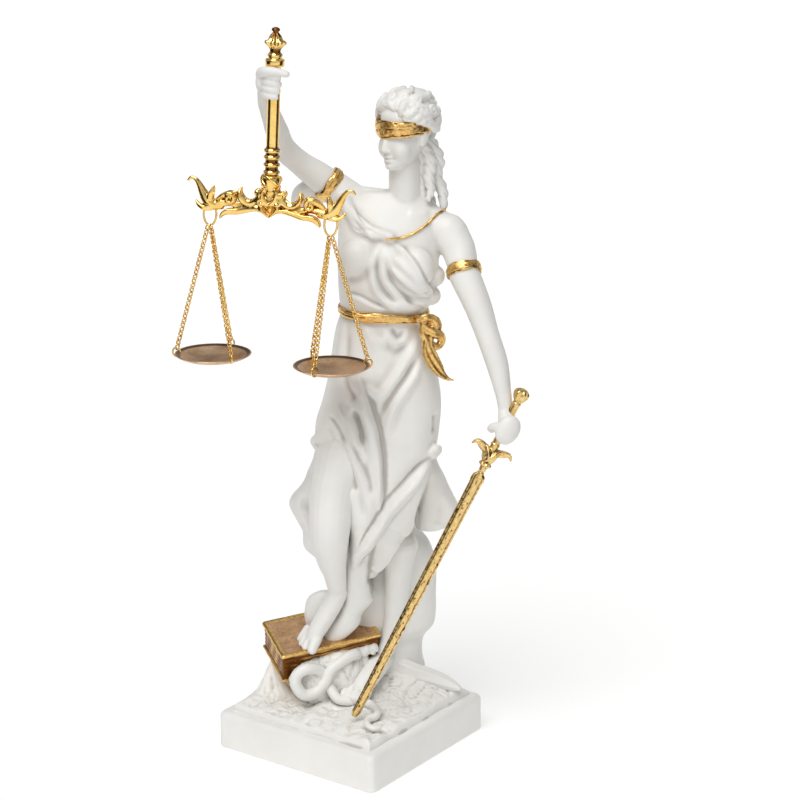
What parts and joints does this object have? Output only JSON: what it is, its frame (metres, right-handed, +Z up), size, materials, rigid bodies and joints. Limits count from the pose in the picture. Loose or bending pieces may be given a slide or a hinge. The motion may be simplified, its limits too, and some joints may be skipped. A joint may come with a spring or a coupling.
{
  "type": "lady justice statue",
  "caption": "Resin figurine of a blindfolded woman in a draped dress, her foot on a book on a square plinth, holding up gilt scales and a lowered gilt sword.",
  "frame": {"origin": "centre of the square plinth's underside, which stands on the shelf", "axes": "+Z up, -Y towards the plinth's front, +X to the viewer's right as seen from the front"},
  "size_m": [0.1189, 0.1041, 0.3075],
  "materials": {
    "white_resin": "cast ivory white resin, satin, with trims painted antique gold",
    "gilt_metal": "polished gold plate",
    "old_gilt_metal": "antique gold with a dark patina in the hollows",
    "copper_brown_metal": "brushed copper brown"
  },
  "bodies": {
    "root": {"figure": "white_resin", "sword": "old_gilt_metal", "scale_beam": "gilt_metal", "beam_ring_right": "gilt_metal", "beam_ring_left": "gilt_metal", "pan_right": "copper_brown_metal", "pan_left": "copper_brown_metal", "chain_right_1": "gilt_metal", "chain_right_2": "gilt_metal", "chain_right_3": "gilt_metal", "chain_left_1": "gilt_metal", "chain_left_2": "gilt_metal", "chain_left_3": "gilt_metal"}
  },
  "joints": []
}
